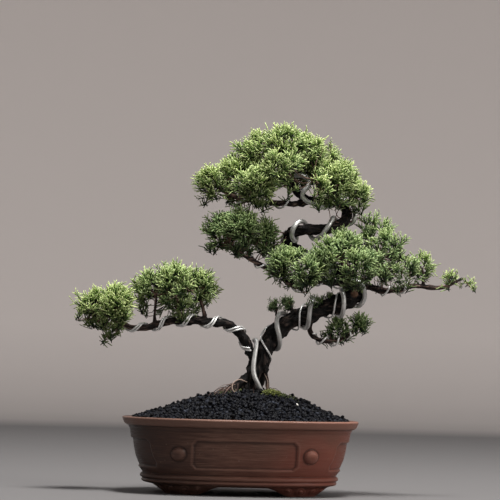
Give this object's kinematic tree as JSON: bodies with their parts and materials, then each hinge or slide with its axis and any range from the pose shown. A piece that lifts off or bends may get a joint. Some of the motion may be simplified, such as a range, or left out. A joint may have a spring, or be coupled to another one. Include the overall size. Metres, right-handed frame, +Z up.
{
  "type": "potted bonsai juniper",
  "caption": "Bonsai juniper with a curved, wired trunk and separate foliage pads, planted in mounded granular soil in an oval clay pot with cloud feet.",
  "frame": {"origin": "bottom centre of the whole object's bounding box, on the surface that the pot's feet stand on", "axes": "+Z up, +X along the pot's long side towards the long right limb, -Y towards the pot's decorated front"},
  "size_m": [0.3408, 0.155, 0.318],
  "materials": {
    "fired_clay": "unglazed brown stoneware, brushed, with fine pale specks",
    "plastic_net": "dark woven plastic net",
    "granular_soil": "dark blue-black porous granules",
    "green_moss": "soft yellow-green moss",
    "juniper_bark": "rough fissured dark bark",
    "aluminium_wire": "dull anodised training wire",
    "juniper_foliage": "fine scale-leaved shoots, matt green with paler tips"
  },
  "bodies": {
    "root": {"pot": "fired_clay", "drain_net_left": "plastic_net", "drain_net_right": "plastic_net", "drain_net_clip_left": "aluminium_wire", "drain_net_clip_right": "aluminium_wire", "soil": "granular_soil", "moss_patch": "green_moss", "trunk_and_branches": "juniper_bark", "wire_trunk_thick": "aluminium_wire", "wire_trunk_thin": "aluminium_wire", "wire_left_branch_upper": "aluminium_wire", "wire_left_branch_lower": "aluminium_wire", "wire_middle_left_branch": "aluminium_wire", "wire_right_branch": "aluminium_wire", "wire_lower_right_branch": "aluminium_wire", "wire_crown_left_branch": "aluminium_wire", "foliage_crown_left": "juniper_foliage", "foliage_crown_top": "juniper_foliage", "foliage_crown_right": "juniper_foliage", "foliage_middle_left": "juniper_foliage", "foliage_middle_center": "juniper_foliage", "foliage_middle_front": "juniper_foliage", "foliage_middle_right": "juniper_foliage", "foliage_right": "juniper_foliage", "foliage_right_tip": "juniper_foliage", "foliage_left_outer": "juniper_foliage", "foliage_left_inner": "juniper_foliage", "foliage_lower_right": "juniper_foliage", "foliage_trunk_sprigs": "juniper_foliage"}
  },
  "joints": []
}
